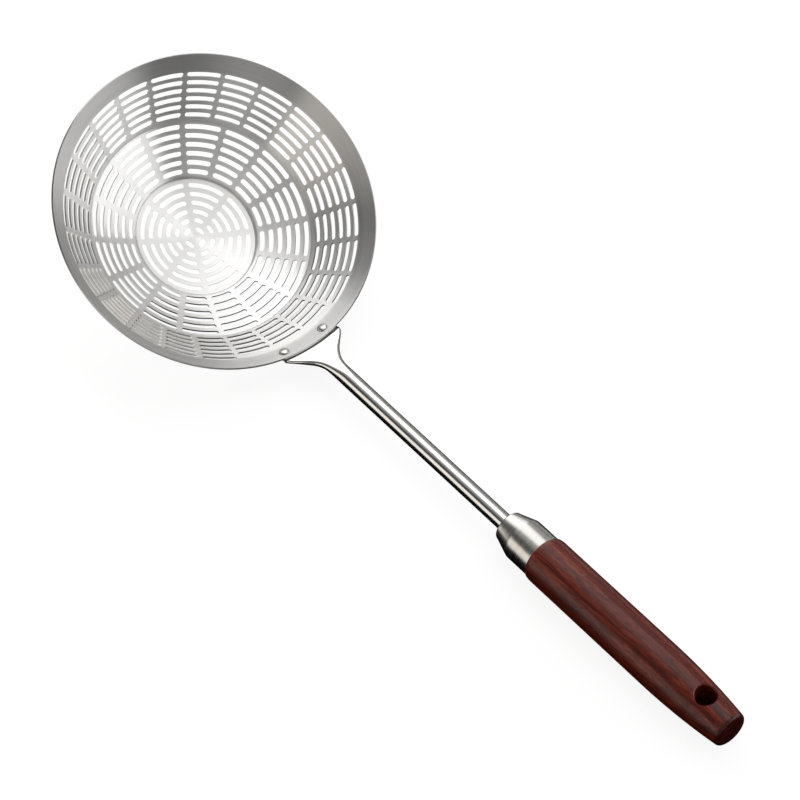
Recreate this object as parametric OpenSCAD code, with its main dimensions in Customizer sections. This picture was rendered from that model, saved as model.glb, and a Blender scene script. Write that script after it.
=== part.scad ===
// Long-handled strainer ladle: a pressed and slotted steel bowl, riveted to a
// steel tube that is pressed flat at the bowl, runs through a steel ferrule
// and ends inside a wooden grip.
//
// The bowl is drawn with its axis upright, the top of its rim at z = 0 and
// the handle over +X. lay_down() then turns the ladle about Y until it lies
// on a table, on the bowl's outer pressed step and the end of the grip.

/* [Bowl] */
// Radius over the rim
bowl_r = 90; // [86:1:96]
// Thickness of the bowl's sheet
wall = 0.9; // [0.7:0.1:1.2]
// Slope of the steep outer zone, in degrees from the rim plane
outer_slope = 48; // [46:0.5:50]
// Slope of the middle zone at its outer edge
middle_slope_top = 29; // [27:0.5:31]
// Slope of the middle zone at its inner edge
middle_slope_foot = 21; // [19:0.5:23]
// Slope of the dished floor at its edge
floor_slope = 6; // [4:0.5:7]
// How far each pressed step runs inwards
step_run = 0.7; // [0.5:0.1:1]
// How far each pressed step drops
step_drop = 1.4; // [1.1:0.1:1.6]

/* [Slots] */
// Plain band between the rim and the first slots, along the sheet
rim_band = 11.1; // [10:0.1:13]
// Width of every slot
slot_w = 2.6; // [2:0.1:2.8]
// Distance between rings of slots, along the sheet
ring_pitch = 4.95; // [4.8:0.05:5.05]
// Rings of slots in the outer and the middle zone
zone_rings = 6; // [5:1:6]
// From the middle of the last slots in the outer zone to the outer step
outer_margin = 3.2; // [2.8:0.1:3.6]
// From the outer step to the middle of the first slots in the middle zone
middle_lead = 2.6; // [2.4:0.1:3]
// From the middle of the last slots in the middle zone to the inner step
middle_margin = 2.9; // [2.5:0.1:3.3]
// From the inner step to the middle of the first slots in the floor
floor_lead = 3.7; // [3.3:0.1:4.1]
// Slots in each ring of the outer zone
outer_count = 24; // [20:1:26]
// Slots in each ring of the middle zone
middle_count = 16; // [12:1:18]
// Slots in each ring of the floor, less the smallest
floor_count = 8; // [6:1:8]
// Slots in the smallest ring
last_count = 4; // [3:1:4]
// Sheet left between the ends of neighbouring slots in the outer zone
outer_spoke = 2.2; // [1.8:0.1:2.8]
// Sheet left between the ends of neighbouring slots further in
inner_spoke = 2.7; // [2.2:0.1:3.2]
// Slots left out of the top ring, where the handle's flange lies
slots_left_out = 3; // [1:2:5]
// How far the slot pattern is turned from the handle's plane
pattern_turn = -3; // [-5:0.5:5]

/* [Handle tube] */
// Angle between the rim plane and the handle
handle_angle = 27.65; // [26.5:0.05:29]
// Outer diameter of the tube
tube_d = 9.5; // [9:0.1:10.5]
// Wall of the tube, which lies double where it is pressed flat
tube_wall = 0.85; // [0.7:0.05:1]
// Length of tube between the rim and the ferrule
tube_show = 159; // [140:1:180]
// Length of tube inside the ferrule and the grip
tube_tail = 75; // [50:1:90]
// Width of the flat fan at the rim
fan_w = 38.2; // [36:0.2:40]
// Distance from the rim to where the fan's flanks run out into the tube
fan_length = 25.5; // [24:0.5:27]
// Radius of the fan's hollow flanks
fan_flank_r = 25.5; // [24.5:0.5:28]
// Distance from the rim to where the tube is fully round
pressed_length = 29; // [28:0.5:31]
// How far the flange stands up over the rim before the fan bends off
fan_lip = 1.3; // [1:0.1:1.6]
// How far the fan's top face lies below the tube's axis at the rim
fan_sink = 0.6; // [0.2:0.1:1]
// How far the flange reaches down the bowl's wall
flange_drop = 11.5; // [10.5:0.5:13]

/* [Rivets] */
// Distance between the two rivets
rivet_gap = 26.2; // [24:0.2:27]
// How far down the wall the rivets sit from the rim
rivet_drop = 5.8; // [5.5:0.1:7]
// How far the two rivets are turned from the handle's plane
rivet_turn = -0.5; // [-1:0.1:1]
// Diameter of the domed rivet heads
rivet_head_d = 5.8; // [5:0.1:6.5]
// Height of the domed rivet heads
rivet_head_h = 1.4; // [1.2:0.1:2]
// Diameter of the rivet shanks
rivet_d = 3.2; // [2.8:0.1:3.6]

/* [Ferrule] */
// Length of the ferrule
ferrule_length = 27.5; // [24:0.5:32]
// Length of its straight barrel
barrel_length = 15.5; // [12:0.5:17]
// Diameter of the barrel
barrel_d = 24.6; // [23:0.1:25]
// Diameter of the nose, where its edge starts to round
nose_d = 17.6; // [16:0.1:19]
// Radius of the nose's edge
nose_round = 1.4; // [1:0.1:2]
// Wall of the ferrule
ferrule_wall = 1.2; // [0.9:0.1:1.6]

/* [Grip] */
// Length of the wood that shows
grip_length = 140.5; // [120:0.5:150]
// Diameter of the wood where it is straight
grip_d = 26.6; // [26:0.1:28.5]
// Diameter of the wood at the butt
butt_d = 19.6; // [18:0.1:21]
// Length of the curved taper towards the butt
taper_length = 53; // [45:1:60]
// Length of the shoulder behind the ferrule
shoulder_length = 4; // [3:0.5:6]
// Radius of the butt's edge
butt_round = 2.2; // [1.5:0.1:4]
// Diameter of the hanging hole
hole_d = 11.6; // [10:0.1:12.5]
// Distance from the butt to the middle of the hanging hole
hole_from_butt = 19; // [17:0.5:22]
// Clearance between pieces that lie against each other
fit = 0.05; // [0.03:0.01:0.1]

/* [Hidden] */
$fn = 96;
steel = "silver";
polished_steel = "gainsboro";
rosewood = "#6b2d1c";
cut = 2; // how far a cutter stands out of what it cuts
section_t = 0.2; // thickness of the sections that are joined by hulls
fan_start = 2.5; // from the rim to the first of these sections

// The bowl's section. Each ring of slots has a band of sheet of its own, one
// ring_pitch wide, that is straight in section, so every slot lies on a cone.
function way(slope) = [cos(slope), sin(slope)];
function across(slope) = [sin(slope), -cos(slope)];
function spread(from, to, n, i) = n < 2 ? from : from + (to - from) * i / (n - 1);

// Points down one zone: its start, the web below each ring, and its end
function zone_points(start, slopes, lead, margin, i = 0) = i == len(slopes)
    ? [start]
    : concat([start], zone_points(start - way(slopes[i])
        * ((i == 0 ? lead : ring_pitch / 2) + (i == len(slopes) - 1 ? margin : ring_pitch / 2)),
        slopes, lead, margin, i + 1));
// The middle of each ring of slots in one zone
function ring_middles(points, slopes, lead) =
    [for (i = [0:len(slopes) - 1]) points[i] - way(slopes[i]) * (i == 0 ? lead : ring_pitch / 2)];

step = [step_run, step_drop];
outer_slopes = [for (i = [1:zone_rings]) outer_slope];
rim_inside = [bowl_r - wall * sin(outer_slope), 0];
rim_outside = rim_inside + wall * across(outer_slope);
outer_lead = rim_band + slot_w / 2;
outer_points = zone_points(rim_inside, outer_slopes, outer_lead, outer_margin);
outer_rings = ring_middles(outer_points, outer_slopes, outer_lead);

middle_slopes = [for (i = [0:zone_rings - 1])
                 spread(middle_slope_top, middle_slope_foot, zone_rings, i)];
middle_points = zone_points(outer_points[zone_rings] - step, middle_slopes,
                            middle_lead, middle_margin);
middle_rings = ring_middles(middle_points, middle_slopes, middle_lead);

floor_start = middle_points[zone_rings] - step;
smallest_ring = 3.6;
floor_rings_n = floor((floor_start[0] - floor_lead - smallest_ring) / ring_pitch) + 1;
floor_slopes = [for (i = [0:floor_rings_n - 1]) spread(floor_slope, 1, floor_rings_n, i)];
floor_points = zone_points(floor_start, floor_slopes, floor_lead, ring_pitch / 2);
floor_rings = ring_middles(floor_points, floor_slopes, floor_lead);
last_slope = floor_slopes[floor_rings_n - 1];
floor_middle = floor_points[floor_rings_n - 1]
               - way(last_slope) * floor_points[floor_rings_n - 1][0] / cos(last_slope);

inside = concat([rim_inside, outer_points[zone_rings]], middle_points,
                [for (i = [0:floor_rings_n - 1]) floor_points[i]], [floor_middle]);

// The outside follows the inside at one wall's distance, with mitred corners
function turn(a, b) = atan2(a[1] - b[1], a[0] - b[0]);
function outside_at(i) = let (last = len(inside) - 1,
        before = i == 0 ? turn(inside[0], inside[1]) : turn(inside[i - 1], inside[i]),
        after = i == last ? 0 : turn(inside[i], inside[i + 1]))
    i == 0 ? inside[0] + wall * across(before)
    : i == last ? inside[i] - [0, wall / cos(before)]
    : inside[i] + wall / cos((before - after) / 2) * across((before + after) / 2);
outside = [for (i = [0:len(inside) - 1]) outside_at(i)];

// The flange stands up along the wall to the lip, and the fan's top face starts
// there. The handle's axis and its length start at the rim's radius.
fan_t = 2 * tube_wall;
tube_r = tube_d / 2;
lip = rim_outside + fit * across(outer_slope) + fan_lip * way(outer_slope);
handle_start = [bowl_r, lip[1] - (lip[0] - bowl_r) * tan(handle_angle)
                        + fan_sink / cos(handle_angle)];
ferrule_at = tube_show;
grip_at = ferrule_at + ferrule_length;
butt_at = grip_at + grip_length;
flange_angle = 2 * asin(fan_w / 2 / bowl_r);
rivet_r = rim_inside[0] - rivet_drop * cos(outer_slope);
rivet_angle = asin(rivet_gap / 2 / rivet_r);

function fan_half_width(s) = min(fan_w / 2, tube_r + fan_flank_r
    - sqrt(pow(fan_flank_r, 2) - pow(min(fan_flank_r, max(0, fan_length - s)), 2)));

// Outline of the wood as distance along the handle and radius
arc_steps = 12;
shoulder = [for (i = [0:arc_steps]) let (a = 90 * i / arc_steps)
    [grip_at + shoulder_length * (1 - cos(a)),
     barrel_d / 2 + (grip_d - barrel_d) / 2 * sin(a)]];
taper_drop = (grip_d - butt_d) / 2;
taper_r = (pow(taper_length, 2) + pow(taper_drop, 2)) / (2 * taper_drop);
taper_sweep = asin(taper_length / taper_r);
taper_turn = taper_sweep * (1 - butt_round / taper_length);
taper = [for (i = [0:arc_steps]) let (a = taper_turn * i / arc_steps)
    [butt_at - taper_length + taper_r * sin(a), grip_d / 2 - taper_r * (1 - cos(a))]];
butt_edge = taper[arc_steps];
butt_curve = [for (i = [1:arc_steps]) let (a = 90 * i / arc_steps)
    [butt_edge[0] + (butt_at - butt_edge[0]) * sin(a), butt_edge[1] - butt_round * (1 - cos(a))]];
grip_outline = concat(shoulder, taper, butt_curve);

// How the ladle lies: one line under the bowl's section and the grip's edge
function on_side(p) = handle_start + p[0] * way(handle_angle) + p[1] * across(handle_angle);
under_grip = [for (p = grip_outline) on_side(p)];
function lowest_view(p) = min([for (g = under_grip) atan2(g[1] - p[1], g[0] - p[0])]);
lie_angle = max([for (p = outside) lowest_view(p)]);
function laid(p) = [p[0] * cos(lie_angle) + p[1] * sin(lie_angle),
                    p[1] * cos(lie_angle) - p[0] * sin(lie_angle)];
table = min([for (p = outside) laid(p)[1]]);
far_end = max([for (p = grip_outline) for (s = [-1, 1]) laid(on_side([p[0], s * p[1]]))[0]]);
near_end = min([for (p = concat(inside, outside)) laid([-p[0], p[1]])[0]]);

module lay_down() {
    translate([-(far_end + near_end) / 2, 0, -table])
        rotate([0, lie_angle, 0])
            children();
}

// Local frame of the handle: z runs along its axis, x points to its underside
module on_handle() {
    translate([handle_start[0], 0, handle_start[1]])
        rotate([0, 90 - handle_angle, 0])
            children();
}

// Local frame on the bowl's wall: z is square to the sheet and points inwards
module on_wall(angle, radius, height, slope) {
    rotate([0, 0, angle])
        translate([radius, 0, height])
            rotate([0, -slope, 0])
                children();
}

// Cutter for one slot, square to the sheet, at a ring's middle point p
module slot(p, slope, half_angle) {
    rotate([0, 0, -half_angle])
        rotate_extrude(angle = 2 * half_angle)
            translate(p + wall / 2 * across(slope))
                rotate(slope)
                    square([slot_w, 2 * (wall + cut)], center = true);
}

// One ring of slots; shift moves it round by a part of one slot's angle
module slot_ring(p, slope, count, spoke, shift = 0, left_out = 0) {
    half_angle = 180 / count - spoke / 2 / p[0] * 180 / PI;
    half_left_out = (left_out - 1) / 2;
    for (i = [0:count - 1])
        if (min(i, count - i) > half_left_out)
            rotate([0, 0, pattern_turn + (i + shift) * 360 / count])
                slot(p, slope, half_angle);
}

module slots() {
    last = floor_rings_n - 1;
    for (i = [0:zone_rings - 1]) {
        slot_ring(outer_rings[i], outer_slopes[i], outer_count, outer_spoke,
                  left_out = i == 0 ? slots_left_out : 0);
        slot_ring(middle_rings[i], middle_slopes[i], middle_count, inner_spoke, shift = 0.5);
    }
    for (i = [0:last - 1])
        slot_ring(floor_rings[i], floor_slopes[i], floor_count, inner_spoke);
    slot_ring(floor_rings[last], floor_slopes[last], last_count, inner_spoke, shift = 0.25);
}

module rivet_hole(side) {
    on_wall(rivet_turn + side * rivet_angle, rivet_r, -rivet_drop * sin(outer_slope), outer_slope)
        cylinder(d = rivet_d + 2 * fit, h = 2 * (wall + fan_t + cut), center = true);
}

module strainer_bowl() {
    color(steel)
        difference() {
            rotate_extrude()
                polygon(concat(inside, [for (i = [len(outside) - 1:-1:0]) outside[i]]));
            slots();
            for (side = [-1, 1])
                rivet_hole(side);
        }
}

// Everything inside the bowl's outer face, with the clearance of the flange
module bowl_room() {
    foot = rim_outside + fit * across(outer_slope) - 2 * flange_drop * way(outer_slope);
    top = rim_outside + fit * across(outer_slope) + flange_drop * way(outer_slope);
    rotate_extrude()
        polygon([[0, foot[1]], foot, top, [0, top[1]]]);
}

// The flat end of the fan, and the strip that is bent down along the bowl's wall
module fan_and_flange() {
    inner = rim_outside - cut * across(outer_slope);
    outer = rim_outside + (fit + fan_t) * across(outer_slope);
    down = flange_drop * way(outer_slope);
    up = (cut + fan_lip) * way(outer_slope);
    difference() {
        union() {
            on_handle()
                translate([fan_sink - cut, -fan_w / 2, -fan_length / 2])
                    cube([fan_t + cut, fan_w, fan_length / 2 + fan_start + section_t / 2]);
            rotate([0, 0, -flange_angle / 2])
                rotate_extrude(angle = flange_angle)
                    polygon([inner - down, inner + up, outer + up, outer - down]);
        }
        bowl_room();
        on_handle()
            translate([fan_sink - bowl_r, -bowl_r / 2, -bowl_r / 2])
                cube([bowl_r, bowl_r, bowl_r]);
    }
}

// The tube is pressed flat step by step: t = 0 is flat and 1 is round
function pressed_at(t) = fan_start + (pressed_length - fan_start) * t;

// One thin section of it, two half rounds with flats between them
module pressed_section(t) {
    at = pressed_at(t);
    height = fan_t + (tube_d - 2 * fit - fan_t) * t * (0.6 + 0.4 * t);
    below_axis = (fan_sink + fan_t / 2 - fit) * pow(1 - t, 4);
    for (side = [-1, 1])
        translate([below_axis, side * (fan_half_width(at) - fit - height / 2), at])
            cylinder(d = height, h = section_t, $fn = 32);
}

module flattened_tube() {
    pieces = 6;
    on_handle()
        for (i = [0:pieces - 1])
            hull() {
                pressed_section(i / pieces);
                pressed_section((i + 1) / pieces);
            }
}

module handle_tube() {
    color(polished_steel)
        difference() {
            union() {
                fan_and_flange();
                flattened_tube();
                on_handle()
                    translate([0, 0, pressed_at(1)])
                        difference() {
                            cylinder(d = tube_d, h = tube_show + tube_tail - pressed_at(1));
                            translate([0, 0, tube_d])
                                cylinder(d = tube_d - 2 * tube_wall, h = tube_show + tube_tail);
                        }
            }
            for (side = [-1, 1])
                rivet_hole(side);
        }
}

// A domed head standing on z = 0, a cap of a sphere
module rivet_head() {
    ball = (pow(rivet_head_d / 2, 2) + pow(rivet_head_h, 2)) / (2 * rivet_head_h);
    rotate_extrude()
        intersection() {
            translate([0, rivet_head_h - ball])
                circle(r = ball);
            square([rivet_head_d, rivet_head_h]);
        }
}

module rivet(side) {
    below = wall + fan_t + 2 * fit;
    color(polished_steel)
        on_wall(rivet_turn + side * rivet_angle, rivet_r, -rivet_drop * sin(outer_slope),
                outer_slope) {
            translate([0, 0, -below - fit])
                cylinder(d = rivet_d, h = below + 2 * fit);
            translate([0, 0, fit])
                rivet_head();
            translate([0, 0, -below])
                mirror([0, 0, 1])
                    rivet_head();
        }
}

module rivet_left() {
    rivet(1);
}

module rivet_right() {
    rivet(-1);
}

// Half section of the ferrule's outside, from the tube to its open end
module ferrule_profile(inset) {
    cone_length = ferrule_length - barrel_length;
    nose_r = nose_d / 2 - inset;
    edge = max(0.1, nose_round - inset);
    bend = [for (i = [0:arc_steps]) let (a = 90 * i / arc_steps)
        [nose_r - edge * (1 - sin(a)), inset + edge * (1 - cos(a))]];
    polygon(concat([[0, inset]], bend, [[barrel_d / 2 - inset, cone_length + inset / 2],
            [barrel_d / 2 - inset, ferrule_length + (inset > 0 ? cut : 0)],
            [0, ferrule_length + (inset > 0 ? cut : 0)]]));
}

module ferrule() {
    color(steel)
        on_handle()
            translate([0, 0, ferrule_at])
                rotate_extrude()
                    difference() {
                        ferrule_profile(0);
                        ferrule_profile(ferrule_wall);
                        translate([0, -cut])
                            square([tube_r + fit, 2 * cut + ferrule_wall]);
                    }
}

// The wood inside the ferrule, cut to its section less the clearance
module tenon() {
    rotate_extrude()
        intersection() {
            ferrule_profile(ferrule_wall + fit);
            square([barrel_d, ferrule_length + 1]);
        }
}

module wooden_grip() {
    color(rosewood)
        on_handle()
            difference() {
                union() {
                    rotate_extrude()
                        polygon(concat([[0, grip_at]], [for (p = grip_outline) [p[1], p[0]]], [[0, butt_at]]));
                    translate([0, 0, ferrule_at])
                        tenon();
                }
                translate([0, 0, ferrule_at - cut])
                    cylinder(r = tube_r + fit, h = tube_tail + 2 * cut);
                translate([-grip_d, 0, butt_at - hole_from_butt])
                    rotate([0, 90, 0])
                        cylinder(d = hole_d, h = 2 * grip_d);
            }
}

lay_down() strainer_bowl();
lay_down() handle_tube();
lay_down() rivet_left();
lay_down() rivet_right();
lay_down() ferrule();
lay_down() wooden_grip();
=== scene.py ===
# %% [markdown]
# # A strainer ladle of pressed steel with a rosewood grip
# This lesson dresses a long-handled strainer ladle. The imported CAD model gives the frame: each
# piece below is made in metres, in the CAD's place, and takes the place of one of its solids.
# The bowl is steel sheet with rings of punched slots, so it is drawn flat and then wrapped.
# Everything else on the ladle is turned or drawn through sections, as it is in the workshop.

# %% Load the frame
import math

import bpy
import numpy as np
from mathutils import Matrix, Vector


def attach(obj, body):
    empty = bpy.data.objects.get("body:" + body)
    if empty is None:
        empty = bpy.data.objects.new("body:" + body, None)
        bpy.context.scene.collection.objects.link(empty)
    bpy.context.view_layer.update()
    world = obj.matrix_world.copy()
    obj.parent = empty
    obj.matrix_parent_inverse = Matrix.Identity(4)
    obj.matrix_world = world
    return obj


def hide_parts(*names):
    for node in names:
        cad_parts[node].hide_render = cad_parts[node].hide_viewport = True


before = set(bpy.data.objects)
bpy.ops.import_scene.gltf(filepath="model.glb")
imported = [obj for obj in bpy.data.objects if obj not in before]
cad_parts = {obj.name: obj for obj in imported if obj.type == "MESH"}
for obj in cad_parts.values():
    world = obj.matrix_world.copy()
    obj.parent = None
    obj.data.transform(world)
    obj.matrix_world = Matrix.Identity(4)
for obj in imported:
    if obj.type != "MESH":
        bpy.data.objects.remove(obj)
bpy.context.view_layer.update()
bpy.ops.object.select_all(action="DESELECT")

# %% [markdown]
# ## One upright bowl, tipped until it lies
# A bowl is easiest to draw with its axis upright, its rim at height 0 and the handle over +X.
# The real ladle lies on the bowl's outer step and the end of its grip, so each point is then
# tipped about Y and set down. Two functions do that: one for the bowl and one for the handle,
# whose own measures are the distance along its axis, the distance to the side and the height.

# %% From the bowl and the handle to the table
MM = 0.001
LIE = math.radians(28.1552)        # how far the bowl's axis is tipped
MIDDLE_X = 163.5122                # from the bowl's axis to the ladle's middle, as it lies
TABLE_Z = -57.7287                 # height of the table, measured from the rim as it lies
HANDLE_ANGLE = math.radians(27.65)  # between the rim's plane and the handle
HANDLE_X, HANDLE_Z = 90.0, 0.5326  # where the handle's axis starts, over the rim


def laid(x, y, z):
    """A point of the upright bowl's frame, in mm, where it lies on the table, in metres."""
    return Vector((x * math.cos(LIE) + z * math.sin(LIE) - MIDDLE_X, y,
                   z * math.cos(LIE) - x * math.sin(LIE) - TABLE_Z)) * MM


def on_handle(along, side, height):
    """A point measured on the handle, in mm, where it lies on the table, in metres."""
    return laid(HANDLE_X + along * math.cos(HANDLE_ANGLE) - height * math.sin(HANDLE_ANGLE), side,
                HANDLE_Z + along * math.sin(HANDLE_ANGLE) + height * math.cos(HANDLE_ANGLE))


def heading(x, y, z):
    """A direction of the upright bowl's frame, as it lies."""
    return (laid(x, y, z) - laid(0, 0, 0)).normalized()


print("the rim's middle lies at", [round(c / MM, 1) for c in laid(0, 0, 0)], "mm")

# %% [markdown]
# ## The camera
# The photograph was taken with a long lens from high up on the right. The camera's place and its
# three directions were worked out from the rim, the two pressed steps and the handle's outline.

# %% Place the camera
camera_data = bpy.data.cameras.new("camera")
camera_data.sensor_width = 36
camera_data.lens = 171
camera = bpy.data.objects.new("camera", camera_data)
bpy.context.collection.objects.link(camera)
right = heading(0.57646, 0.76506, 0.28702)
down = heading(0.81427, -0.50849, -0.28002)
forward = heading(-0.06829, 0.39513, -0.91608)
camera.matrix_world = Matrix.Translation(laid(280.1, -784.05, 1871.85)) @ Matrix(
    (right, -down, -forward)).transposed().to_4x4()
bpy.context.scene.camera = camera
print("camera", [round(c, 3) for c in camera.location], "looks", [round(c, 3) for c in forward])

# %% [markdown]
# ## Sheets that are put in place point by point
# A grid primitive is a flat sheet of cells. When each of its points is moved to its place, the
# sheet becomes a band, a tube or a turned form, and its cells still run straight along and round
# the piece. The UV map keeps that: U runs across the maker's brush strokes and V along them.

# %% Grids
SHEET_UV = "across_and_along"
MERGE_GAP = 2e-6  # points this close, in metres, are one


def edit(*steps):
    """Runs each (operator, settings) on all of the active mesh, in edit mode."""
    bpy.ops.object.mode_set(mode="EDIT")
    bpy.ops.mesh.select_all(action="SELECT")
    for operator, settings in steps:
        operator(**settings)
    bpy.ops.object.mode_set(mode="OBJECT")


def grid(name, columns, rows, place):
    """A grid of cells whose point in a column and a row goes where place says."""
    bpy.ops.object.select_all(action="DESELECT")
    bpy.ops.mesh.primitive_grid_add(x_subdivisions=columns, y_subdivisions=rows, size=1)
    piece = bpy.context.object
    piece.name = name
    mesh = piece.data
    uv = mesh.uv_layers[0]
    uv.name = SHEET_UV
    for loop in mesh.loops:
        row, column = divmod(loop.vertex_index, columns + 1)
        uv.data[loop.index].uv = (row / rows, column / columns)
    for vertex in mesh.vertices:
        row, column = divmod(vertex.index, columns + 1)
        vertex.co = place(column, row)
    return piece


def weld(piece):
    """Merges points that meet, as at a seam or a pole, and turns the faces outwards."""
    bpy.context.view_layer.objects.active = piece
    edit((bpy.ops.mesh.remove_doubles, {"threshold": MERGE_GAP}),
         (bpy.ops.mesh.normals_make_consistent, {"inside": False}))


def close_ends():
    """Puts a face on each open end of the active piece and turns its faces outwards again."""
    edit((bpy.ops.mesh.select_all, {"action": "DESELECT"}),
         (bpy.ops.mesh.select_non_manifold, {}),
         (bpy.ops.mesh.edge_face_add, {}),
         (bpy.ops.mesh.select_all, {"action": "SELECT"}),
         (bpy.ops.mesh.normals_make_consistent, {"inside": False}))


# %% [markdown]
# ## Joining, modifying and keeping a piece
# An operator acts on all that is selected, so each of these first selects what it is meant for.
# A piece that is kept gets smooth faces with sharp edges, and takes the place of a CAD solid.

# %% Join, modify and keep
def select_only(*pieces):
    """Selects these pieces alone, the first as the active one."""
    bpy.ops.object.select_all(action="DESELECT")
    for piece in pieces:
        piece.select_set(True)
    bpy.context.view_layer.objects.active = pieces[0]


def joined(*pieces):
    """Makes several pieces one, which keeps the first one's name."""
    select_only(*pieces)
    bpy.ops.object.join()
    return pieces[0]


def modify(piece, name, kind, **settings):
    """Gives a piece a modifier with its settings and applies it."""
    select_only(piece)
    modifier = piece.modifiers.new(name, kind)
    for setting, value in settings.items():
        setattr(modifier, setting, value)
    bpy.ops.object.modifier_apply(modifier=modifier.name)


def kept(piece, node, angle=35):
    """Smooths a finished piece, hangs it under the root and hides the solid it stands for."""
    select_only(piece)
    bpy.ops.object.shade_smooth_by_angle(angle=math.radians(angle))
    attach(piece, "root")
    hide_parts(node)
    piece.data.calc_loop_triangles()
    print(piece.name, len(piece.data.loop_triangles), "triangles")
    return piece


# %% [markdown]
# ## The bowl's section
# The sheet is walked down from the rim to the middle, as a pencil would go. Two small pressed
# steps part a steep outer zone, a middle zone and a nearly flat floor. A press rounds each edge
# of a step, so the walk turns there in short strokes. Every ring of slots gets a straight band.
# The section could be a curve that is turned about the axis, but 281 slots would then have to be
# cut out of a thin wall one by one, which is slow and leaves ragged faces. So the walk only
# notes how far each edge is from the rim, and the sheet is drawn flat from that, slots and all.

# %% Walk down the sheet
BOWL_R, WALL = 90.0, 0.9
OUTER_SLOPE = 48.0                        # degrees, as are all slopes
MIDDLE_SLOPES = [29 - 8 * i / 5 for i in range(6)]
FLOOR_SLOPES = [6 - i for i in range(6)]
RIM_BAND, RING_PITCH, SLOT_W = 11.1, 4.95, 2.6
OUTER_MARGIN, MIDDLE_LEAD = 3.2, 2.6      # from the nearest rings of slots to the outer step
MIDDLE_MARGIN, FLOOR_LEAD = 2.9, 3.7      # and to the inner step
OUTER_SPOKE, INNER_SPOKE = 2.2, 2.7       # sheet between the ends of two slots
STEP_RUN, STEP_DROP = 0.7, 1.4
BROW_R, FOOT_R = 1.2, 0.45                # the press rounds the step's two edges
STEEP = math.degrees(math.atan2(STEP_DROP, STEP_RUN))
PLAIN_LEAST = 0.5                         # plain sheet left above and below a zone's rings
section = [(0.0, BOWL_R - WALL * math.sin(math.radians(OUTER_SLOPE)), 0.0)]
plain_bands, rings = [], []


def walk(slope, length):
    """Goes down the inside of the sheet and returns the distance from the rim."""
    distance, r, z = section[-1]
    section.append((distance + length, r - length * math.cos(math.radians(slope)),
                    z - length * math.sin(math.radians(slope))))
    return section[-1][0]


def plain(strokes):
    """A band without slots, given as (slope, length) strokes."""
    plain_bands.append([section[-1][0]] + [walk(slope, length) for slope, length in strokes])


def zone(slopes, lead, margin, count, spoke, shift=0.0, lead_rows=1, first_missing=0):
    """Rings of slots from one step to the next, with the plain sheet above and below them.

    lead and margin run to the middle of the first and from the middle of the last slots,
    shift turns the rings by a part of a slot, lead_rows are rows of faces in the sheet above,
    and first_missing slots are left out of the first ring, in the handle's plane.
    """
    last = len(slopes) - 1
    for i, slope in enumerate(slopes):
        above = min(RING_PITCH / 2, lead - PLAIN_LEAST) if i == 0 else RING_PITCH / 2
        below = min(RING_PITCH / 2, margin - PLAIN_LEAST) if i == last else RING_PITCH / 2
        if i == 0:
            plain([(slope, (lead - above) / lead_rows)] * lead_rows)
        top, middle = section[-1][0], walk(slope, above)
        rings.append({"top": top, "middle": middle, "r": section[-1][1], "foot": walk(slope, below),
                      "count": count[i], "spoke": spoke, "shift": shift,
                      "missing": first_missing if i == 0 else 0})
        if i == last and margin > below:
            plain([(slope, margin - below)])


def bend(slope_from, slope_to, radius, strokes=4):
    """Strokes that turn from one slope to another along an arc of the sheet's inside."""
    turn = math.radians(abs(slope_to - slope_from)) * radius / strokes
    return [(slope_from + (slope_to - slope_from) * (i + 0.5) / strokes, turn)
            for i in range(strokes)]


def taken(radius, slope):
    """How much of the straight sheet an edge of a step takes up with its rounding."""
    return radius * math.tan(math.radians(STEEP - slope) / 2)


def pressed_step(slope_from, slope_to):
    """A step down from one slope to the next, with its brow and its foot rounded."""
    straight = math.hypot(STEP_RUN, STEP_DROP) - taken(BROW_R, slope_from) - taken(FOOT_R, slope_to)
    plain(bend(slope_from, STEEP, BROW_R) + [(STEEP, straight)] + bend(STEEP, slope_to, FOOT_R))


# %% Draw the three zones and the two steps
zone([OUTER_SLOPE] * 6, RIM_BAND + SLOT_W / 2, OUTER_MARGIN - taken(BROW_R, OUTER_SLOPE),
     [24] * 6, OUTER_SPOKE, lead_rows=4, first_missing=3)
pressed_step(OUTER_SLOPE, MIDDLE_SLOPES[0])
zone(MIDDLE_SLOPES, MIDDLE_LEAD - taken(FOOT_R, MIDDLE_SLOPES[0]),
     MIDDLE_MARGIN - taken(BROW_R, MIDDLE_SLOPES[-1]), [16] * 6, INNER_SPOKE, shift=0.5)
pressed_step(MIDDLE_SLOPES[-1], FLOOR_SLOPES[0])
zone(FLOOR_SLOPES, FLOOR_LEAD - taken(FOOT_R, FLOOR_SLOPES[0]), RING_PITCH / 2,
     [8] * 5 + [4], INNER_SPOKE)
rings[-1]["shift"] = 0.25
to_middle = section[-1][1] / math.cos(math.radians(FLOOR_SLOPES[-1]))
plain([(FLOOR_SLOPES[-1], to_middle / 3)] * 3)
print(len(rings), "rings; the sheet measures", round(section[-1][0], 1),
      "mm from the rim to the middle and is", round(-section[-1][2], 1), "mm deep")

# %% [markdown]
# ## One slot in flat sheet, then rings of them
# On the flat drawing X is the angle round the bowl, in degrees, and Y the distance from the rim.
# One cell is a slot with round ends and the sheet round it: a circle primitive becomes the
# slot's edge, and its edges are extruded out to the cell's border. An array copies the cell
# round its ring, so one clean slot serves the whole ring. The points of all borders are 1.25
# degrees apart, so the bands can be welded.

# %% Cut the rings of slots
APART = 1.25  # degrees between the points of every border
SIDE = 4      # faces down the side of a cell


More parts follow.
